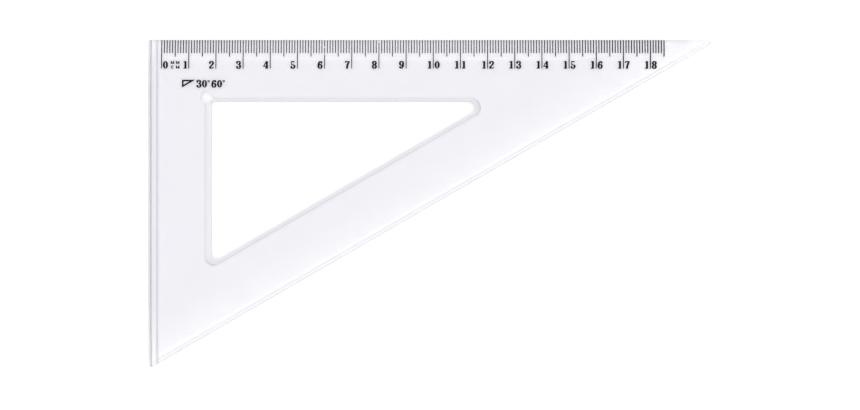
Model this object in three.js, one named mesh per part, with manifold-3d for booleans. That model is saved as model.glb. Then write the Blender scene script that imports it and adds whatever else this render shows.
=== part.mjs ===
// A clear plastic 30/60/90 set square with a centimetre scale printed along its long leg.
// Millimetres, +Z up. The plate lies on its flat underside at z = 0. The right angle is at -X +Y,
// the graduated long leg runs along X at +Y, and the short leg runs along Y at -X.
import * as THREE from "three";
import { mergeVertices } from "three/addons/utils/BufferGeometryUtils.js";
import Module from "manifold-3d";

const wasm = await Module();
wasm.setup();

// ---- Driving dimensions of the plate ----
const LONG_LEG = 210; // to the sharp corner
const SMALL_ANGLE = THREE.MathUtils.degToRad(30); // between the long leg and the hypotenuse
const SHORT_LEG = LONG_LEG * Math.tan(SMALL_ANGLE);
const THICKNESS = 2.2;
const TIP_RADIUS = 1;
const SQUARE_CORNER_RADIUS = 0.4;

// Widths of the three bars round the cut-out, and of its border on each of them.
const BAR = { left: 23.25, top: 22.8, slant: 22.2 };
const CUTOUT_BORDER = { left: 2.5, top: 1.4, slant: 1.75 };
const CUTOUT_RADII = { square: 0.7, tip: 2.2, foot: 2 };
const CUTOUT_BORDER_RADII = { square: 1, tip: 3.5, foot: 3.3 };

// The cut-out's border in section: a ledge and a riser, by part of its width.
const CUTOUT_STEPS = [
  { part: 0, z: 1.75 },
  { part: 0.74, z: 1.85 },
  { part: 1, z: THICKNESS },
];

// How far each side of the outline has moved inwards at each height. Both long edges are bevelled:
// the graduated one by a narrow slope, the slanted one by a thin lip and then a wide, rounded slope.
const SIDES = {
  left: [{ inset: 0, z: THICKNESS }],
  top: [
    { inset: 0, z: 1.25 },
    { inset: 7.6, z: THICKNESS },
  ],
  slant: [
    { inset: 0, z: 0.6 },
    { inset: 1.55, z: 0.85 },
    { inset: 2.3, z: 1.1 },
    { inset: 9.5, z: 1.75 },
    { inset: 14, z: 2.02 },
    { inset: 18.5, z: THICKNESS },
  ],
};

// The border pressed into the upper face along the short leg: a ledge with its riser, and a shallow
// groove. The depth is a share of the height that the face has there.
const LEFT_BORDER = [
  { inset: 0, depth: 0.2 },
  { inset: 0.75, depth: 0.2 },
  { inset: 1.35, depth: 0 },
  { inset: 1.6, depth: 0 },
  { inset: 2.95, depth: 0.12 },
  { inset: 3.75, depth: 0 },
];

const HOLE_DIAMETER = 4.3; // the plate hangs on it
const HOLE_AT = { fromLeft: 21.55, fromTop: 21.15 };
const CORNER_STEPS = 8;
const HOLE_STEPS = 32;
const CUT_MARGIN = 1; // how far a cutter passes the faces

// ---- Driving dimensions of the print ----
const FILM = 0.05; // thickness of the ink
const ZERO_FROM_LEFT = 5;
const LAST_LINE = 185; // millimetres
const LINE_WIDTH = 0.36;
const LINE_START = 0.1; // from the edge
const LINE_LENGTH = { millimetre: 4.9, half: 6.2, centimetre: 10.6 };
const SPINE_WIDTH = 0.1; // the hairline that joins the lines of one centimetre at the edge
const NUMERAL_FOOT = 10.65; // from the edge to the numerals' baseline
const NUMERAL_GAP = 0.7; // from the middle of a centimetre line to the numeral at its left
const TENS_GAP = 0.75;
const UNITS_GAP = 0.45;

// The numerals are bold and upright, with thick stems and hairline joins.
const DIGIT = { width: 1.95, height: 2.8, stem: 0.78, hair: 0.36, ball: 0.41 };
const ONE_WIDTH = 1.35;
const CURVE_STEPS = 7; // on each curve of a character

const LETTER = { width: 1.3, height: 1.2, stroke: 0.34 };
const UNIT_LABEL = { fromLeft: 8.4, pitchX: 1.9, pitchY: 1.7 };

// A mark under the scale: a little set square, and the plate's two acute angles.
const MARK = { fromLeft: 12.5, foot: 17.6, length: 5, stroke: 0.6, digitScale: 1, gap: 0.5 };
const DEGREE = { radius: 0.45, stroke: 0.28, gap: 0.12 };

// Where the plate's right-angled corner lies when the origin is the middle of its bounding box.
const tipSetback = (angle) => TIP_RADIUS / Math.tan(angle / 2) - TIP_RADIUS;
const PLATE_LENGTH = LONG_LEG - tipSetback(SMALL_ANGLE);
const PLATE_WIDTH = SHORT_LEG - tipSetback(Math.PI / 2 - SMALL_ANGLE);
const CORNER = new THREE.Vector2(-PLATE_LENGTH / 2, PLATE_WIDTH / 2);

const CLEAR = new THREE.MeshStandardMaterial({
  color: 0xefeef6,
  roughness: 0.08,
  metalness: 0,
  transparent: true,
  opacity: 0.35,
});
const inkMaterial = () => new THREE.MeshStandardMaterial({ color: 0x17171c, roughness: 0.6, metalness: 0 });

// ---- Solids ----

function solidOf(geometry) {
  const bare = geometry.clone();
  bare.deleteAttribute("normal");
  bare.deleteAttribute("uv");
  const merged = mergeVertices(bare, 1e-5);
  return new wasm.Manifold(
    new wasm.Mesh({
      numProp: 3,
      vertProperties: new Float32Array(merged.attributes.position.array),
      triVerts: new Uint32Array(merged.index.array),
    }),
  );
}

function geometryOf(solid) {
  const mesh = solid.getMesh();
  const geometry = new THREE.BufferGeometry();
  geometry.setAttribute("position", new THREE.BufferAttribute(mesh.vertProperties, 3));
  geometry.setIndex(new THREE.BufferAttribute(mesh.triVerts, 1));
  geometry.computeVertexNormals();
  return geometry;
}

// A closed body through a stack of convex rings, each a list of points with the same count, and a z.
function loft(rings) {
  const count = rings[0].points.length;
  const positions = rings.flatMap(({ points, z }) => points.flatMap((p) => [p.x, p.y, z]));
  const faces = [];
  for (let ring = 0; ring + 1 < rings.length; ring++) {
    for (let i = 0; i < count; i++) {
      const low = ring * count + i;
      const lowNext = ring * count + ((i + 1) % count);
      faces.push(low, lowNext, lowNext + count, low, lowNext + count, low + count);
    }
  }
  const top = (rings.length - 1) * count;
  for (let i = 1; i + 1 < count; i++) {
    faces.push(0, i + 1, i);
    faces.push(top, top + i, top + i + 1);
  }
  const geometry = new THREE.BufferGeometry();
  geometry.setAttribute("position", new THREE.Float32BufferAttribute(positions, 3));
  geometry.setIndex(faces);
  return geometry;
}

// ---- The plate ----

// Points of the arc that rounds the corner between two straight sides.
function roundedCorner(before, corner, after, radius) {
  const toBefore = before.clone().sub(corner).normalize();
  const toAfter = after.clone().sub(corner).normalize();
  const half = Math.acos(toBefore.dot(toAfter)) / 2;
  const centre = toBefore.clone().add(toAfter).normalize();
  centre.multiplyScalar(radius / Math.sin(half)).add(corner);
  const start = toBefore.clone().multiplyScalar(radius / Math.tan(half)).add(corner).sub(centre);
  const sweep = Math.PI - 2 * half;
  return Array.from({ length: CORNER_STEPS + 1 }, (_, i) =>
    start.clone().rotateAround(new THREE.Vector2(), (sweep * i) / CORNER_STEPS).add(centre),
  );
}

// The plate's triangle with each side moved inwards, and its corners rounded, counterclockwise.
function triangle(inset, radii) {
  const sine = Math.sin(SMALL_ANGLE);
  const cosine = Math.cos(SMALL_ANGLE);
  const reach = LONG_LEG * sine - inset.slant; // from the right-angled corner to the slanted side
  const square = new THREE.Vector2(inset.left, -inset.top).add(CORNER);
  const tip = new THREE.Vector2((reach - inset.top * cosine) / sine, -inset.top).add(CORNER);
  const foot = new THREE.Vector2(inset.left, -(reach - inset.left * sine) / cosine).add(CORNER);
  return [
    ...roundedCorner(tip, square, foot, radii.square),
    ...roundedCorner(square, foot, tip, radii.foot),
    ...roundedCorner(foot, tip, square, radii.tip),
  ];
}

// The inset of one side at height z: nothing up the wall, and then along its profile.
function insetAt(side, z) {
  const above = side.findIndex((station) => station.z >= z);
  if (above <= 0) return 0;
  const low = side[above - 1];
  const high = side[above];
  return THREE.MathUtils.mapLinear(z, low.z, high.z, low.inset, high.inset);
}

// The plate without its left border, cut-out and hole, standing at height lift.
function plateBlank(lift) {
  const radii = { square: SQUARE_CORNER_RADIUS, tip: TIP_RADIUS, foot: TIP_RADIUS };
  const heights = Object.values(SIDES).flatMap((side) => side.map((station) => station.z));
  const levels = [0, ...new Set(heights)].sort((a, b) => a - b);
  const rings = levels.map((z) => {
    const inset = {
      left: insetAt(SIDES.left, z),
      top: insetAt(SIDES.top, z),
      slant: insetAt(SIDES.slant, z),
    };
    return { points: triangle(inset, radii), z: z + lift };
  });
  return solidOf(loft(rings));
}

// How deep the left border is pressed in at an inset, as a share of the height.
function depthAt(inset) {
  const beyond = LEFT_BORDER.findIndex((station) => station.inset >= inset);
  if (beyond <= 0) return LEFT_BORDER[0].depth;
  const low = LEFT_BORDER[beyond - 1];
  const high = LEFT_BORDER[beyond];
  return THREE.MathUtils.mapLinear(inset, low.inset, high.inset, low.depth, high.depth);
}

// The plate with the left border pressed in: cut into strips, each lowered, and joined again.
function withLeftBorder(plate) {
  const lower = (vertex) => {
    vertex[2] *= 1 - depthAt(vertex[0] - CORNER.x);
  };
  let rest = plate;
  const strips = LEFT_BORDER.slice(1).map(({ inset }) => {
    const [beyond, strip] = rest.splitByPlane([1, 0, 0], CORNER.x + inset);
    rest = beyond;
    return strip.warp(lower);
  });
  return strips.reduce((joined, strip) => joined.add(strip), rest);
}

function cutoutTool() {
  const ring = (part, z) => ({
    points: triangle(
      {
        left: BAR.left - CUTOUT_BORDER.left * part,
        top: BAR.top - CUTOUT_BORDER.top * part,
        slant: BAR.slant - CUTOUT_BORDER.slant * part,
      },
      {
        square: THREE.MathUtils.lerp(CUTOUT_RADII.square, CUTOUT_BORDER_RADII.square, part),
        tip: THREE.MathUtils.lerp(CUTOUT_RADII.tip, CUTOUT_BORDER_RADII.tip, part),
        foot: THREE.MathUtils.lerp(CUTOUT_RADII.foot, CUTOUT_BORDER_RADII.foot, part),
      },
    ),
    z,
  });
  const stepped = CUTOUT_STEPS.map(({ part, z }) => ring(part, z));
  return loft([ring(0, -CUT_MARGIN), ...stepped, ring(1, THICKNESS + CUT_MARGIN)]);
}

function holeTool() {
  const length = THICKNESS + 2 * CUT_MARGIN;
  return new THREE.CylinderGeometry(HOLE_DIAMETER / 2, HOLE_DIAMETER / 2, length, HOLE_STEPS)
    .rotateX(Math.PI / 2)
    .translate(CORNER.x + HOLE_AT.fromLeft, CORNER.y - HOLE_AT.fromTop, THICKNESS / 2);
}

const BLANK = plateBlank(0);
const plateGeometry = () =>
  geometryOf(withLeftBorder(BLANK).subtract(solidOf(cutoutTool())).subtract(solidOf(holeTool())));

// ---- Ink on the plate ----

// The film that ink of this thickness would make all over the upper face. A mark is a piece of it.
const FILM_LAYER = plateBlank(FILM).subtract(BLANK);

// Flat shapes, standing at a place on the plate, printed as one piece of the film.
function printed(shapes, x = 0, y = 0, scale = 1) {
  const options = { depth: THICKNESS + CUT_MARGIN, bevelEnabled: false, curveSegments: 2 * CURVE_STEPS };
  const prisms = shapes.map((shape) =>
    solidOf(new THREE.ExtrudeGeometry(shape, options).scale(scale, scale, 1).translate(x, y, 0)),
  );
  return geometryOf(prisms.reduce((a, b) => a.add(b)).intersect(FILM_LAYER));
}

const point = (x, y) => new THREE.Vector2(x, y);
const polygon = (...corners) => new THREE.Shape(corners.map(([x, y]) => point(x, y)));
const slab = (left, right, low, high) => polygon([left, low], [right, low], [right, high], [left, high]);

const xOfMillimetre = (millimetre) => CORNER.x + ZERO_FROM_LEFT + millimetre;

function lineLength(millimetre) {
  if (millimetre % 10 === 0) return LINE_LENGTH.centimetre;
  return millimetre % 5 === 0 ? LINE_LENGTH.half : LINE_LENGTH.millimetre;
}

function scaleLine(millimetre) {
  const left = xOfMillimetre(millimetre) - LINE_WIDTH / 2;
  return slab(left, left + LINE_WIDTH, CORNER.y - lineLength(millimetre), CORNER.y - LINE_START);
}

// The lines from one centimetre line up to the next, held together by the spine.
function centimetreLines(centimetre) {
  const first = centimetre * 10;
  const last = Math.min(first + 9, LAST_LINE);
  const lines = [];
  for (let millimetre = first; millimetre <= last; millimetre++) lines.push(scaleLine(millimetre));
  const spineTop = CORNER.y - LINE_START;
  const spine = slab(xOfMillimetre(first), xOfMillimetre(last), spineTop - SPINE_WIDTH, spineTop);
  return printed([...lines, spine]);
}

// ---- Printed characters: flat outlines in a box whose lower left corner is the origin ----

function disc(x, y, radius) {
  return new THREE.Shape().absarc(x, y, radius, 0, 2 * Math.PI);
}

// An oval drawn with an upright pen: thick at its sides, thin at its top and bottom.
function oval(x, y, radiusX, radiusY) {
  const outer = new THREE.Shape();
  outer.absellipse(x, y, radiusX + DIGIT.stem / 2, radiusY + DIGIT.hair / 2, 0, 2 * Math.PI);
  const inner = new THREE.Path();
  inner.absellipse(x, y, radiusX - DIGIT.stem / 2, radiusY - DIGIT.hair / 2, 0, 2 * Math.PI);
  outer.holes.push(inner);
  return outer;
}

// A stroke along cubic curves with the same pen: the steeper it runs, the thicker it is.
function penStroke(start, ...curves) {
  const path = new THREE.Path().moveTo(...start);
  curves.forEach((curve) => path.bezierCurveTo(...curve.flat()));
  const stations = path.curves.flatMap((curve, index) =>
    Array.from({ length: CURVE_STEPS + (index === 0 ? 1 : 0) }, (_, i) => {
      const t = (i + (index === 0 ? 0 : 1)) / CURVE_STEPS;
      return { at: curve.getPoint(t), along: curve.getTangent(t) };
    }),
  );
  const side = (sign) =>
    stations.map(({ at, along }) => {
      const width = THREE.MathUtils.lerp(DIGIT.hair, DIGIT.stem, along.y ** 2);
      return point(-along.y, along.x).multiplyScalar((sign * width) / 2).add(at);
    });
  return new THREE.Shape([...side(-1), ...side(1).reverse()]);
}

function straightStroke([x0, y0], [x1, y1], width) {
  const across = point(y0 - y1, x1 - x0).setLength(width / 2);
  return polygon(
    [x0 - across.x, y0 - across.y],
    [x1 - across.x, y1 - across.y],
    [x1 + across.x, y1 + across.y],
    [x0 + across.x, y0 + across.y],
  );
}

const HALF = DIGIT.width / 2;
const TOP = DIGIT.height;
const BELLY = DIGIT.width - DIGIT.stem / 2; // middle of a thick right-hand curve
const BACK = DIGIT.stem / 2; // middle of a thick left-hand curve

// The lower bowl that 3 and 5 share, from its top left, with the ball that ends it.
function openBowl(startX, startY) {
  return [
    penStroke(
      [startX, startY],
      [[1.25, startY + 0.1], [BELLY, 1.35], [BELLY, 0.8]],
      [[BELLY, -0.1], [0.5, -0.15], [0.42, 0.6]],
    ),
    disc(0.42, 0.6, DIGIT.ball),
  ];
}

const six = () => [
  oval(HALF, 0.86, HALF - DIGIT.stem / 2, 0.775),
  penStroke([1.5, 2.28], [[1.3, 2.95], [BACK, 2.75], [BACK, 0.9]]),
  disc(1.5, 2.28, DIGIT.ball),
];

const turned = (shapes) =>
  shapes.map((shape) => {
    const turn = (p) => point(DIGIT.width - p.x, TOP - p.y);
    const { shape: outline, holes } = shape.extractPoints(CURVE_STEPS);
    const copy = new THREE.Shape(outline.map(turn));
    copy.holes = holes.map((hole) => new THREE.Path(hole.map(turn)));
    return copy;
  });

const DIGITS = {
  0: () => [oval(HALF, TOP / 2, HALF - DIGIT.stem / 2, (TOP - DIGIT.hair) / 2)],
  1: () => [
    slab(0.45, 0.45 + DIGIT.stem, 0, TOP),
    slab(0.08, ONE_WIDTH, 0, DIGIT.hair),
    polygon([0, 2.3], [0.5, 2.42], [0.5, TOP], [0.36, TOP]),
  ],
  2: () => [
    penStroke(
      [0.42, 2.12],
      [[0.45, 2.85], [1.58, 3], [1.56, 2.05]],
      [[1.54, 1.35], [0.52, 1.05], [0.48, 0.3]],
    ),
    disc(0.42, 2.12, DIGIT.ball),
    polygon([0.08, 0], [1.68, 0], [1.88, 0.85], [1.76, 0.85], [1.55, 0.46], [0.3, 0.4], [0.08, 0.1]),
  ],
  3: () => [
    penStroke(
      [0.42, 2.2],
      [[0.45, 2.88], [1.5, 2.95], [1.48, 2.12]],
      [[1.46, 1.7], [1.2, 1.5], [0.75, 1.5]],
    ),
    disc(0.42, 2.2, DIGIT.ball),
    ...openBowl(0.75, 1.5),
  ],
  4: () => [
    slab(1, 1 + DIGIT.stem, 0, TOP),
    slab(0.75, 1.85, 0, DIGIT.hair),
    slab(0.02, 1.9, 0.66, 0.66 + DIGIT.hair),
    straightStroke([0.1, 0.7], [1.25, 2.72], DIGIT.hair),
  ],
  5: () => [
    slab(0.3, 0.3 + DIGIT.hair, 1.35, TOP),
    polygon([0.3, 2.36], [1.45, 2.3], [1.68, TOP], [0.3, TOP]),
    ...openBowl(0.36, 1.4),
  ],
  6: six,
  7: () => [
    polygon([0.1, 1.95], [0.22, 1.95], [0.42, 2.34], [1.75, 2.34], [1.9, 2.66], [1.9, TOP], [0.1, TOP]),
    penStroke([1.6, 2.5], [[1.2, 1.75], [0.9, 1.1], [0.92, 0]]),
  ],
  8: () => [
    oval(HALF, 2.09, 0.55, 0.625),
    oval(HALF, 0.76, HALF - DIGIT.stem / 2, 0.675),
  ],
  9: () => turned(six()),
};

const digitWidth = (digit) => (digit === 1 ? ONE_WIDTH : DIGIT.width);

function letterM() {
  const right = LETTER.width;
  const half = LETTER.stroke / 2;
  return [
    slab(0, LETTER.stroke, 0, LETTER.height),
    slab(right - LETTER.stroke, right, 0, LETTER.height),
    straightStroke([half, LETTER.height - half], [right / 2, half], LETTER.stroke),
    straightStroke([right - half, LETTER.height - half], [right / 2, half], LETTER.stroke),
  ];
}

function letterC() {
  const middle = LETTER.height / 2;
  const mouth = Math.PI / 4;
  const ring = new THREE.Shape();
  ring.absarc(middle, middle, middle, mouth, 2 * Math.PI - mouth, false);
  ring.absarc(middle, middle, middle - LETTER.stroke, 2 * Math.PI - mouth, mouth, true);
  return [ring];
}

function markTriangle() {
  const height = MARK.length * Math.tan(SMALL_ANGLE);
  const inner = MARK.length - MARK.stroke * (1 + 1 / Math.tan(SMALL_ANGLE / 2));
  const outline = polygon([0, height], [0, 0], [MARK.length, height]);
  const left = MARK.stroke;
  const top = height - MARK.stroke;
  const bottom = top - inner * Math.tan(SMALL_ANGLE);
  outline.holes.push(new THREE.Path([point(left, top), point(left + inner, top), point(left, bottom)]));
  return [outline];
}

function degreeRing() {
  const { radius, stroke } = DEGREE;
  const ring = disc(radius, TOP - radius, radius);
  ring.holes.push(new THREE.Path().absarc(radius, TOP - radius, radius - stroke, 0, 2 * Math.PI));
  return [ring];
}

// A character of ink, placed by its lower left corner.
function inkCharacter(shapes, fromLeft, footFromEdge, scale = 1) {
  return printed(shapes, CORNER.x + fromLeft, CORNER.y - footFromEdge, scale);
}

// ---- The assembly ----

const square = new THREE.Group();

function addPart(name, geometry, material) {
  const mesh = new THREE.Mesh(geometry, material);
  mesh.name = name;
  square.add(mesh);
}

const addInk = (name, geometry) => addPart(name, geometry, inkMaterial());

function addDigit(name, digit, fromLeft, footFromEdge = NUMERAL_FOOT, scale = 1) {
  addInk(name, inkCharacter(DIGITS[digit](), fromLeft, footFromEdge, scale));
}

function addScaleLines() {
  for (let centimetre = 0; centimetre * 10 <= LAST_LINE; centimetre++) {
    const name = `centimetre_lines_${String(centimetre).padStart(2, "0")}`;
    addInk(name, centimetreLines(centimetre));
  }
}

// The zero stands right of its line, 1 to 9 left of theirs, and 10 to 18 straddle theirs.
function addNumerals() {
  addDigit("numeral_0", 0, ZERO_FROM_LEFT + UNITS_GAP);
  for (let number = 1; number * 10 <= LAST_LINE; number++) {
    const line = ZERO_FROM_LEFT + 10 * number;
    if (number < 10) {
      addDigit(`numeral_${number}`, number, line - NUMERAL_GAP - digitWidth(number));
    } else {
      addDigit(`numeral_${number}_tens`, 1, line - TENS_GAP - ONE_WIDTH);
      addDigit(`numeral_${number}_units`, number - 10, line + UNITS_GAP);
    }
  }
}

function addUnitLabel() {
  const second = UNIT_LABEL.fromLeft + UNIT_LABEL.pitchX;
  const upper = NUMERAL_FOOT - UNIT_LABEL.pitchY;
  addInk("unit_mm_first_letter", inkCharacter(letterM(), UNIT_LABEL.fromLeft, upper));
  addInk("unit_mm_second_letter", inkCharacter(letterM(), second, upper));
  addInk("unit_cm_first_letter", inkCharacter(letterC(), UNIT_LABEL.fromLeft, NUMERAL_FOOT));
  addInk("unit_cm_second_letter", inkCharacter(letterM(), second, NUMERAL_FOOT));
}

function addMark() {
  addInk("mark_triangle", inkCharacter(markTriangle(), MARK.fromLeft, MARK.foot));
  const advance = MARK.digitScale * (DIGIT.width + DEGREE.gap);
  const degreeWidth = MARK.digitScale * 2 * DEGREE.radius;
  let fromLeft = MARK.fromLeft + MARK.length + MARK.gap / 2;
  for (const angle of [30, 60]) {
    const name = `mark_angle_${angle}`;
    addDigit(`${name}_tens`, angle / 10, fromLeft, MARK.foot, MARK.digitScale);
    addDigit(`${name}_units`, 0, fromLeft + advance, MARK.foot, MARK.digitScale);
    const ring = inkCharacter(degreeRing(), fromLeft + 2 * advance, MARK.foot, MARK.digitScale);
    addInk(`${name}_degree`, ring);
    fromLeft += 2 * advance + degreeWidth + MARK.gap;
  }
}

addPart("plate", plateGeometry(), CLEAR);
addScaleLines();
addNumerals();
addUnitLabel();
addMark();

export default square;
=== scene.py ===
import math

import bmesh
import bpy
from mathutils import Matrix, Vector


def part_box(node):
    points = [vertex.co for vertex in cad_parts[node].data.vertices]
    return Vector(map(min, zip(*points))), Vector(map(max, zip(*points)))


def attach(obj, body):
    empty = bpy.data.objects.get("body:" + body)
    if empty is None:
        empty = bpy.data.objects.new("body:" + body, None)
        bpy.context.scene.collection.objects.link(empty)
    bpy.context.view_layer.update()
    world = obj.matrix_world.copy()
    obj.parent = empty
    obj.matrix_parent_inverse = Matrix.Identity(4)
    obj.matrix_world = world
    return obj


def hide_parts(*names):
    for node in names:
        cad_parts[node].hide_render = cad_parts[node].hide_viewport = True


# A clear moulded set square with a printed scale, lying on a white table and seen from above.
# Metres, in the CAD frame: the underside at z = 0, the graduated edge along X at +Y.

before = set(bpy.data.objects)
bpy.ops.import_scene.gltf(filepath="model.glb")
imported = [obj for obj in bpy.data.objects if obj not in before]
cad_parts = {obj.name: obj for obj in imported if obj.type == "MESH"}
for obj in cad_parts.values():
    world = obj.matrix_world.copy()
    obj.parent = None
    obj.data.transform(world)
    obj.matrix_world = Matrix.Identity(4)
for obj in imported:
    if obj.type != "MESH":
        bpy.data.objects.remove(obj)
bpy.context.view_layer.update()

MM = 0.001

# ---- Sizes of the moulding: its box comes from the frame, its profiles from the real object ----
PLATE_LOW, PLATE_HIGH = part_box("plate")
THICKNESS = PLATE_HIGH.z
SMALL_ANGLE = math.radians(30)
TIP_RADIUS = 1 * MM
SQUARE_CORNER_RADIUS = 0.4 * MM
CORNER = Vector((PLATE_LOW.x, PLATE_HIGH.y))  # the right angle
TIP_SETBACK = TIP_RADIUS / math.tan(SMALL_ANGLE / 2) - TIP_RADIUS
LONG_LEG = PLATE_HIGH.x - PLATE_LOW.x + TIP_SETBACK

SIDES = ("left", "slant", "top")  # in the order that the outline runs, from the right angle
BAR = {"left": 23.25 * MM, "top": 22.8 * MM, "slant": 22.2 * MM}
CUTOUT_BORDER = {"left": 2.5 * MM, "top": 1.4 * MM, "slant": 1.75 * MM}
CUTOUT_RADII = {"square": 0.7 * MM, "tip": 2.2 * MM, "foot": 2 * MM}
CUTOUT_BORDER_RADII = {"square": 1 * MM, "tip": 3.5 * MM, "foot": 3.3 * MM}
HOLE_RADIUS = 2.15 * MM
HOLE_AT = Vector((21.55 * MM, -21.15 * MM))

# Each side's profile from the wall inwards, as (inset, height, painted shade) with the sizes in mm.
# The painted shade darkens the strip that ends there, where the steps bend light away and throw
# shade.
PROFILES = {
    "left": ((0, 2.2, 0),),
    "top": ((0, 1.25, 0.1), (0.8, 1.35, 0.3), (1.3, 1.41, 0.15), (7.6, 2.2, 0)),
    "slant": (
        (0, 0.6, 0.4),
        (0.35, 0.65, 0.42),
        (0.95, 0.75, 0),
        (1.55, 0.85, 0.3),
        (2.3, 1.1, 0),
        (9.5, 1.75, 0),
        (14, 2.02, 0),
        (18.5, 2.2, 0),
    ),
}
# The border pressed into the left side, as (inset in mm, depth, painted shade). The depth is a
# share of the height that the upper face has there.
LEFT_BORDER = (
    (0, 0.2, 0),
    (0.75, 0.2, 0.17),
    (1.35, 0, 0.9),
    (1.6, 0, 0),
    (2.2, 0.04, 0.05),
    (2.95, 0.12, 0.15),
    (3.75, 0, 0.6),
)
# The cut-out's border, as (part of its width, height in mm), and each side's painted shade by
# strip.
CUTOUT_STEPS = ((0, 1.75), (0.3, 1.8), (0.74, 1.85), (1, 2.2))
# The painted shade differs by side, as the light falls more on some sides than on others.
CUTOUT_PAINTED_SHADE = {
    "left": (0, 0, 0, 0.4),
    "top": (0.2, 0.3, 0, 0.4),
    "slant": (0.15, 0.05, 0.1, 0.55),
    # The corner's painted shade, darker round the cut-out's corners, is added to its two sides'.
    "corner": (0.05, 0.05, 0.1, 0.25),  # on top of its two sides'
}

FILLET = 0.08 * MM  # on every edge of the upper face
FILLET_STEPS = 3
ARC_STEPS = 20  # round each corner of the outline
HOLE_STEPS = 72
PAST = 1 * MM  # how far a cutter passes the faces

# ---- Sizes of the print ----
CAD_LINE_WIDTH = 0.36 * MM
LINE_WIDTH = 0.325 * MM  # of the lightest line: the print is heavier towards both ends of the scale
LIGHTEST_LINE = 75  # lines are named by their millimetre
LINE_GAIN = 8e-6 * MM  # in width, per square of the distance from the lightest line in mm
LINE_LENGTHS = {"millimetre": 4.9 * MM, "half": 6.2 * MM, "centimetre": 10.6 * MM}
LINE_START = 0.1 * MM  # from the graduated edge
LAST_LINE = 185
LINE_GAPS = {60: ((2.5, 2.9), (5, 5.4)), 80: ((0.4, 1),)}  # worn through, by line, in mm down it
INK_ABOVE = 0.03 * MM  # the moulding's upper face
INK_BELOW = 0.01 * MM
LINE_STATIONS = 0.4 * MM  # between a stroke's sections

# ---- The plastic ----
CLEAR_TINT = (0.97, 0.965, 0.986, 1)
# The dark colour that the painted shade of the steps mixes in.
PAINTED_SHADE_TINT = (0.35, 0.345, 0.37, 1)
ABSORPTION_TINT = (0.016, 0, 0.105, 1)
ABSORPTION = 63  # per metre
POLYSTYRENE_IOR = 1.59
HANDLING_HAZE = 0.03
WAVE_HEIGHT = 0.02 * MM

# ---- The ink ----
INK_SHADES = ((0.003, 0.003, 0.007, 1), (0.016, 0.016, 0.028, 1))

# ---- The studio ----
DOME = ((0, 0.4), (0.6, 0.4), (0.7, 1.05), (0.96, 1.05), (0.985, 0.2))  # (height, radiance)
BACKDROP = 1  # what the camera sees past the table
TABLE_SHADES = ((0.79, 0.79, 0.79, 1), (0.81, 0.81, 0.81, 1))
TABLE_GLOW = 0.6
TABLE_HALF = 5  # far wider than the view
TABLE_GAP = 0.05 * MM  # between the table and the plate's underside
VIEW_WIDTH = 316.5 * MM
VIEW_MIDDLE = Vector((0.16 * MM, -0.57 * MM))
LENS, SENSOR = 100, 36


# ---- Meshes ----


def new_object(name, vertices, faces):
    mesh = bpy.data.meshes.new(name)
    mesh.from_pydata(vertices, [], faces)
    mesh.validate()
    thing = bpy.data.objects.new(name, mesh)
    bpy.context.scene.collection.objects.link(thing)
    return thing


def face_outwards(thing):
    made = bmesh.new()
    made.from_mesh(thing.data)
    bmesh.ops.recalc_face_normals(made, faces=made.faces)
    made.to_mesh(thing.data)
    made.free()


def loft(name, rings, painted_shade_of=None):
    """A closed body through a stack of rings, each a (points, height) with the same count.
    The last argument gives the painted shade of the face that starts at a ring and a point of it."""
    count = len(rings[0][0])
    vertices = [(p.x, p.y, z) for points, z in rings for p in points]
    faces, painted_shade = [], []
    for ring in range(len(rings) - 1):
        for i in range(count):
            low, low_next = ring * count + i, ring * count + (i + 1) % count
            faces.append((low, low_next, low_next + count, low + count))
            painted_shade.append(painted_shade_of(ring, i) if painted_shade_of else 0)
    last = (len(rings) - 1) * count
    faces.append(tuple(reversed(range(count))))
    faces.append(tuple(range(last, last + count)))
    thing = new_object(name, vertices, faces)
    # Each side face keeps its painted shade, with which the material darkens the tint.
    attribute = thing.data.attributes.new("painted_shade", "FLOAT", "FACE")
    attribute.data.foreach_set("value", painted_shade + [0, 0])
    return thing


class Station:
    """A point of a side's profile, and the painted shade of the strip that ends there."""

    def __init__(self, inset, z, painted_shade):
        self.at = Vector((inset, z))
        self.painted_shade = painted_shade


def filleted(stations):
    """The profile with a small fillet in place of each of its inner corners."""
    rounded = [stations[0]]
    for before, corner, after in zip(stations, stations[1:], stations[2:]):
        back, ahead = before.at - corner.at, after.at - corner.at
        turn = math.pi - back.angle(ahead)
        reach = min(FILLET * math.tan(turn / 2), 0.45 * back.length, 0.45 * ahead.length)
        start = corner.at + back.normalized() * reach
        end = corner.at + ahead.normalized() * reach
        for step in range(FILLET_STEPS + 1):
            t = step / FILLET_STEPS
            at = start.lerp(corner.at, t).lerp(corner.at.lerp(end, t), t)
            painted_shade = corner.painted_shade if step == 0 else (corner.painted_shade + after.painted_shade) / 2
            rounded.append(Station(at.x, at.y, painted_shade))
    rounded.append(stations[-1])
    return rounded


def side_profile(steps, width=MM):
    """One side of the plate from its underside up to the flat of its upper face. The width is what
    an inset of 1 stands for."""
    slope = [Station(inset * width, z * MM, painted_shade) for inset, z, painted_shade in steps]
    flat = Station(slope[-1].at.x + 2 * FILLET, slope[-1].at.y, 0)
    return filleted([Station(0, 0, 0), *slope, flat])[:-1]


def on_profile(profile, z):
    """The inset and the painted shade at height z."""
    for low, high in zip(profile, profile[1:]):
        if low.at.y <= z < high.at.y:
            share = (z - low.at.y) / (high.at.y - low.at.y)
            return low.at.x + (high.at.x - low.at.x) * share, high.painted_shade
    return profile[-1].at.x, profile[-1].painted_shade


def across(profile, inset):
    """The height and the painted shade of a profile at an inset."""
    for low, high in zip(profile, profile[1:]):
        if low.at.x <= inset < high.at.x:
            share = (inset - low.at.x) / (high.at.x - low.at.x)
            return low.at.y + (high.at.y - low.at.y) * share, high.painted_shade
    return 0, 0


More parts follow.
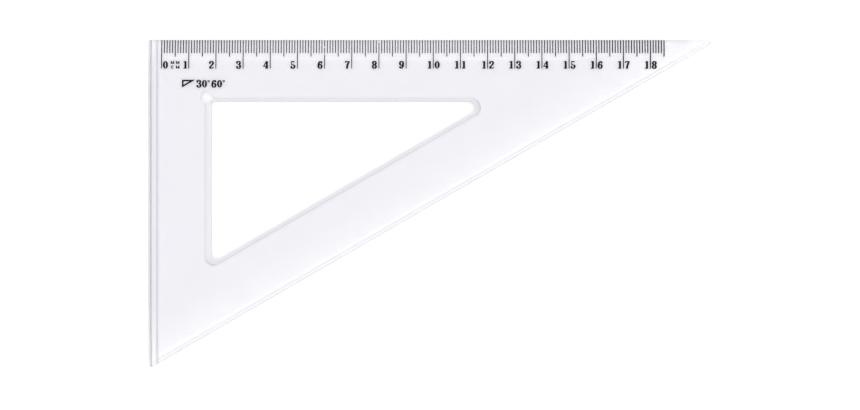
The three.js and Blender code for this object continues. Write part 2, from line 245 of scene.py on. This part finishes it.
def rounded_corner(before, corner, after, radius):
    """Points of the arc that rounds the corner between two straight sides."""
    to_before = (before - corner).normalized()
    to_after = (after - corner).normalized()
    half = to_before.angle(to_after) / 2
    centre = corner + (to_before + to_after).normalized() * radius / math.sin(half)
    start = corner + to_before * radius / math.tan(half) - centre
    sweep = math.pi - 2 * half
    points = []
    for step in range(ARC_STEPS + 1):
        turn = sweep * step / ARC_STEPS
        x = start.x * math.cos(turn) - start.y * math.sin(turn)
        y = start.x * math.sin(turn) + start.y * math.cos(turn)
        points.append(centre + Vector((x, y)))
    return points


def triangle(inset, radii):
    """The plate's triangle with each side moved inwards and its corners rounded."""
    sine, cosine = math.sin(SMALL_ANGLE), math.cos(SMALL_ANGLE)
    reach = LONG_LEG * sine - inset["slant"]
    square = CORNER + Vector((inset["left"], -inset["top"]))
    tip = CORNER + Vector(((reach - inset["top"] * cosine) / sine, -inset["top"]))
    foot = CORNER + Vector((inset["left"], -(reach - inset["left"] * sine) / cosine))
    return (
        rounded_corner(tip, square, foot, radii["square"])
        + rounded_corner(square, foot, tip, radii["foot"])
        + rounded_corner(foot, tip, square, radii["tip"])
    )


def painted_shade_round(painted_shade, i):
    """The painted shade of the face at point i of a ring: its side's, or in a corner a mix of its
    two sides' and the corner's own."""
    corner, step = divmod(i, ARC_STEPS + 1)
    before, after = painted_shade[SIDES[corner - 1]], painted_shade[SIDES[corner]]
    along = min(1, (step + 0.5) / ARC_STEPS)
    return before + (after - before) * along + painted_shade.get("corner", 0) * math.sin(math.pi * along)


def plate_blank():
    """The plate with its bevels, without its left border, cut-out and hole."""
    profiles = {side: side_profile(steps) for side, steps in PROFILES.items()}
    radii = {"square": SQUARE_CORNER_RADIUS, "tip": TIP_RADIUS, "foot": TIP_RADIUS}
    heights = sorted({round(s.at.y, 8) for profile in profiles.values() for s in profile})
    rings = []
    for z in heights:
        inset = {side: on_profile(profile, z)[0] for side, profile in profiles.items()}
        rings.append((triangle(inset, radii), z))
    painted_shades = []
    for low, high in zip(heights, heights[1:]):
        middle = (low + high) / 2
        painted_shades.append({side: on_profile(profile, middle)[1] for side, profile in profiles.items()})
    return loft("plate_moulding", rings, lambda ring, i: painted_shade_round(painted_shades[ring], i))


def cutout_tool():
    """What the middle of the plate is cut with: the cut-out and its stepped border."""
    mean_width = sum(CUTOUT_BORDER.values()) / len(SIDES)
    profiles = {}
    # Each side's strips get their own painted shade.
    for side, painted_shades in CUTOUT_PAINTED_SHADE.items():
        steps = [(part, z, painted_shade) for (part, z), painted_shade in zip(CUTOUT_STEPS, painted_shades)]
        low, *middle, high = side_profile(steps, mean_width)
        sunk = Station(low.at.x, -PAST, 0)
        raised = Station(high.at.x, THICKNESS + PAST, 0)
        profiles[side] = [sunk, low, *middle, high, raised]
    rings, painted_shades = [], []
    for stations in zip(*profiles.values()):
        part = stations[0].at.x / mean_width
        share = max(part, 0)
        inset = {side: BAR[side] - CUTOUT_BORDER[side] * part for side in BAR}
        radii = {
            end: CUTOUT_RADII[end] * (1 - share) + CUTOUT_BORDER_RADII[end] * share
            for end in CUTOUT_RADII
        }
        rings.append((triangle(inset, radii), stations[0].at.y))
        painted_shades.append({side: station.painted_shade for side, station in zip(profiles, stations)})
    return loft("cutout_tool", rings, lambda ring, i: painted_shade_round(painted_shades[ring + 1], i))


def press_left_border(plate):
    """Presses the border's lines into the upper face along the left side."""
    depths = [Station(inset * MM, depth * THICKNESS, painted_shade) for inset, depth, painted_shade in LEFT_BORDER]
    profile = filleted(depths)
    made = bmesh.new()
    made.from_mesh(plate.data)
    for station in profile:
        everything = made.verts[:] + made.edges[:] + made.faces[:]
        at = (CORNER.x + station.at.x, 0, 0)
        bmesh.ops.bisect_plane(made, geom=everything, plane_co=at, plane_no=(1, 0, 0))
    for vertex in made.verts:
        depth, _ = across(profile, vertex.co.x - CORNER.x)
        vertex.co.z *= 1 - depth / THICKNESS
    # Paints shade on the border's faces, by the strip that each lies in.
    painted_shade = made.faces.layers.float["painted_shade"]
    for face in made.faces:
        middle = face.calc_center_median()
        if middle.z > 0:
            face[painted_shade] = max(face[painted_shade], across(profile, middle.x - CORNER.x)[1])
    made.to_mesh(plate.data)
    made.free()


def hole_tool():
    """What the hang hole is cut with: a cylinder that flares at the upper face."""
    middle = CORNER + HOLE_AT
    circle = []
    for step in range(HOLE_STEPS):
        turn = 2 * math.pi * step / HOLE_STEPS
        circle.append(middle + HOLE_RADIUS * Vector((math.cos(turn), math.sin(turn))))
    flare = [middle + (p - middle) * (1 + FILLET / HOLE_RADIUS) for p in circle]
    rings = (
        (circle, -PAST),
        (circle, THICKNESS - FILLET),
        (flare, THICKNESS),
        (flare, THICKNESS + PAST),
    )
    return loft("hole_tool", rings)


def cut(thing, *tools):
    """Cuts the tools out of thing, for good."""
    for tool in tools:
        modifier = thing.modifiers.new("cut", "BOOLEAN")
        modifier.operation = "DIFFERENCE"
        modifier.solver = "EXACT"
        modifier.object = tool
    bpy.context.view_layer.update()
    depsgraph = bpy.context.evaluated_depsgraph_get()
    made = bpy.data.meshes.new_from_object(thing.evaluated_get(depsgraph))
    thing.modifiers.clear()
    thing.data = made
    for tool in tools:
        bpy.data.objects.remove(tool)


# ---- The printed lines ----


def height_under(x, y):
    """The height of the moulding's upper face at a point near the graduated edge."""
    from_left, from_top = x - CORNER.x, CORNER.y - y
    from_slant = (LONG_LEG - from_left) * math.sin(SMALL_ANGLE) - from_top * math.cos(SMALL_ANGLE)
    return min(
        height_on(PROFILES["top"], max(from_top, 0) / MM),
        height_on(PROFILES["slant"], max(from_slant, 0) / MM),
    )


def height_on(steps, inset):
    """The height of a profile, given as in PROFILES, at an inset in mm."""
    for (low, low_z, _), (high, high_z, _) in zip(steps, steps[1:]):
        if inset <= high:
            share = max(inset - low, 0) / (high - low)
            return (low_z + (high_z - low_z) * share) * MM
    return THICKNESS


def line_length(millimetre):
    if millimetre % 10 == 0:
        return LINE_LENGTHS["centimetre"]
    return LINE_LENGTHS["half"] if millimetre % 5 == 0 else LINE_LENGTHS["millimetre"]


def printed_stroke(vertices, faces, x, width, start, end):
    """Adds a stroke of ink from y = start down to y = end, lying on the moulding."""
    count = max(2, round((start - end) / LINE_STATIONS))
    first = len(vertices)
    for station in range(count + 1):
        y = start + (end - start) * station / count
        for side in (-1, 1):
            at = x + side * width / 2
            face = height_under(at, y)
            vertices.append((at, y, face - INK_BELOW))
            vertices.append((at, y, face + INK_ABOVE))
    for station in range(count):
        a = first + 4 * station
        b = a + 4
        faces.append((a + 1, b + 1, b + 3, a + 3))
        faces.append((a + 2, b + 2, b, a))
        faces.append((a, b, b + 1, a + 1))
        faces.append((a + 3, b + 3, b + 2, a + 2))
    last = first + 4 * count
    faces.append((first, first + 1, first + 3, first + 2))
    faces.append((last + 2, last + 3, last + 1, last))


def printed_line(vertices, faces, x, millimetre):
    """Adds one line of the scale, as the strokes that its worn gaps leave."""
    edge = CORNER.y
    width = LINE_WIDTH + LINE_GAIN * (millimetre - LIGHTEST_LINE) ** 2
    start = edge - LINE_START
    for gap_start, gap_end in LINE_GAPS.get(millimetre, ()):
        printed_stroke(vertices, faces, x, width, start, edge - gap_start * MM)
        start = edge - gap_end * MM
    printed_stroke(vertices, faces, x, width, start, edge - line_length(millimetre))


def centimetre_lines(centimetre):
    node = f"centimetre_lines_{centimetre:02d}"
    first_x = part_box(node)[0].x + CAD_LINE_WIDTH / 2
    vertices, faces = [], []
    for step in range(min(10, LAST_LINE - 10 * centimetre + 1)):
        printed_line(vertices, faces, first_x + step * MM, 10 * centimetre + step)
    piece = new_object(f"printed_lines_{centimetre:02d}", vertices, faces)
    face_outwards(piece)
    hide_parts(node)
    return piece


# ---- Materials ----


def new_material(name):
    material = bpy.data.materials.new(name)
    material.use_nodes = True
    tree = material.node_tree
    return material, tree, tree.nodes["Principled BSDF"]


def noise_between(tree, scale, low, high):
    """A socket with noise that runs between two values, in the object's own coordinates."""
    coordinates = tree.nodes.new("ShaderNodeTexCoord")
    noise = tree.nodes.new("ShaderNodeTexNoise")
    noise.inputs["Scale"].default_value = scale
    noise.inputs["Detail"].default_value = 4
    tree.links.new(coordinates.outputs["Object"], noise.inputs["Vector"])
    spread = tree.nodes.new("ShaderNodeMapRange")
    spread.inputs["From Min"].default_value = 0.25
    spread.inputs["From Max"].default_value = 0.75
    spread.inputs["To Min"].default_value = low
    spread.inputs["To Max"].default_value = high
    tree.links.new(noise.outputs["Fac"], spread.inputs["Value"])
    return spread.outputs["Result"]


def shade_between(tree, scale, dark, light):
    """A socket with a colour that noise moves between two shades."""
    mix = tree.nodes.new("ShaderNodeMix")
    mix.data_type = "RGBA"
    mix.inputs["A"].default_value = dark
    mix.inputs["B"].default_value = light
    tree.links.new(noise_between(tree, scale, low=0, high=1), mix.inputs["Factor"])
    return mix.outputs["Result"]


def tint_with_painted_shade_and_haze(tree):
    """A socket with the plastic's tint, darkened by the painted shade that the mesh's steps carry
    and by a little random haze from handling.
    """
    step = tree.nodes.new("ShaderNodeAttribute")
    step.attribute_name = "painted_shade"
    # The steps' painted shade, with a little random haze from handling added.
    painted_shade = tree.nodes.new("ShaderNodeMath")
    painted_shade.operation = "ADD"
    tree.links.new(step.outputs["Fac"], painted_shade.inputs[0])
    tree.links.new(noise_between(tree, scale=150, low=0, high=HANDLING_HAZE), painted_shade.inputs[1])
    tint = tree.nodes.new("ShaderNodeMix")
    tint.data_type = "RGBA"
    tint.inputs["A"].default_value = CLEAR_TINT
    tint.inputs["B"].default_value = PAINTED_SHADE_TINT
    tree.links.new(painted_shade.outputs["Value"], tint.inputs["Factor"])
    return tint.outputs["Result"]


def moulded_waves(tree):
    """A socket with the normal of a face that isn't quite flat."""
    waves = tree.nodes.new("ShaderNodeBump")
    waves.inputs["Strength"].default_value = 0.3
    waves.inputs["Distance"].default_value = WAVE_HEIGHT
    tree.links.new(noise_between(tree, scale=60, low=0, high=1), waves.inputs["Height"])
    return waves.outputs["Normal"]


def clear_plastic():
    """Clear polystyrene, a little violet in its thickness, with painted shade darkest in the steps.
    """
    material, tree, shader = new_material("clear_plastic")
    links = tree.links
    shader.inputs["Transmission Weight"].default_value = 1
    shader.inputs["IOR"].default_value = POLYSTYRENE_IOR
    links.new(tint_with_painted_shade_and_haze(tree), shader.inputs["Base Color"])
    links.new(noise_between(tree, scale=90, low=0.02, high=0.07), shader.inputs["Roughness"])
    links.new(moulded_waves(tree), shader.inputs["Normal"])
    inside = tree.nodes.new("ShaderNodeVolumeAbsorption")
    inside.inputs["Color"].default_value = ABSORPTION_TINT
    inside.inputs["Density"].default_value = ABSORPTION
    links.new(inside.outputs["Volume"], tree.nodes["Material Output"].inputs["Volume"])
    return material


def black_ink():
    """Satin printing ink, a little uneven."""
    material, tree, shader = new_material("black_ink")
    ink = shade_between(tree, 2500, *INK_SHADES)
    tree.links.new(ink, shader.inputs["Base Color"])
    tree.links.new(noise_between(tree, 1200, low=0.35, high=0.6), shader.inputs["Roughness"])
    shader.inputs["Specular IOR Level"].default_value = 0.15
    return material


def table_white():
    """A white table lit a little from within, as a product photographer's light table is."""
    material, tree, shader = new_material("table_white")
    white = shade_between(tree, 300, *TABLE_SHADES)
    tree.links.new(white, shader.inputs["Base Color"])
    tree.links.new(noise_between(tree, 150, low=0.8, high=0.95), shader.inputs["Roughness"])
    shader.inputs["Specular IOR Level"].default_value = 0.2
    shader.inputs["Emission Color"].default_value = (1, 1, 1, 1)
    shader.inputs["Emission Strength"].default_value = TABLE_GLOW
    return material


# ---- The scene ----


def set_material(thing, material):
    thing.data.materials.clear()
    thing.data.materials.append(material)


def make_plate(material):
    plate = plate_blank()
    press_left_border(plate)
    cut(plate, cutout_tool(), hole_tool())
    face_outwards(plate)
    set_material(plate, material)
    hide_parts("plate")
    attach(plate, "root")


def make_print(material):
    """The lines of the scale, and the CAD's own solids for every other printed mark."""
    for centimetre in range(LAST_LINE // 10 + 1):
        lines = centimetre_lines(centimetre)
        set_material(lines, material)
        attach(lines, "root")
    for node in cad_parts.values():
        if not node.hide_render:  # no piece replaces it
            node.material_slots[0].material = material


def make_table():
    half = TABLE_HALF
    corners = [(-half, -half, 0), (half, -half, 0), (half, half, 0), (-half, half, 0)]
    table = new_object("table", corners, [(0, 1, 2, 3)])
    table.location.z = -TABLE_GAP
    set_material(table, table_white())


def dome_light(tree):
    """A socket with the dome's radiance by height, as DOME gives it."""
    direction = tree.nodes.new("ShaderNodeTexCoord")
    split = tree.nodes.new("ShaderNodeSeparateXYZ")
    tree.links.new(direction.outputs["Generated"], split.inputs["Vector"])
    dome = tree.nodes.new("ShaderNodeValToRGB")
    tree.links.new(split.outputs["Z"], dome.inputs["Fac"])
    while len(dome.color_ramp.elements) < len(DOME):
        dome.color_ramp.elements.new(0.5)
    for element, (height, light) in zip(dome.color_ramp.elements, DOME):
        element.position = height
        element.color = (light, light, light, 1)
    return dome.outputs["Color"]


def make_light():
    """A soft studio dome: brightest in a ring round the camera, dim behind it and at the horizon.
    The camera itself sees a plain backdrop."""
    world = bpy.data.worlds.new("studio")
    bpy.context.scene.world = world
    world.use_nodes = True
    tree = world.node_tree
    seen = tree.nodes.new("ShaderNodeLightPath")
    pick = tree.nodes.new("ShaderNodeMix")
    pick.data_type = "RGBA"
    pick.inputs["B"].default_value = (BACKDROP, BACKDROP, BACKDROP, 1)
    tree.links.new(seen.outputs["Is Camera Ray"], pick.inputs["Factor"])
    tree.links.new(dome_light(tree), pick.inputs["A"])
    tree.links.new(pick.outputs["Result"], tree.nodes["Background"].inputs["Color"])
    bpy.context.scene.view_settings.view_transform = "Standard"


def keep_light_sharp():
    """Turns off Cycles' Filter Glossy, which darkens what lies under clear plastic."""
    bpy.context.scene.cycles.blur_glossy = 0


def make_camera():
    """A camera straight above, as far away as its lens needs for the view's width."""
    camera = bpy.data.objects.new("camera", bpy.data.cameras.new("camera"))
    bpy.context.scene.collection.objects.link(camera)
    camera.data.lens = LENS
    camera.data.sensor_width = SENSOR
    distance = VIEW_WIDTH * LENS / SENSOR
    camera.location = (VIEW_MIDDLE.x, VIEW_MIDDLE.y, distance + THICKNESS)
    bpy.context.scene.camera = camera


make_camera()
make_light()
keep_light_sharp()
make_table()
make_plate(clear_plastic())
make_print(black_ink())
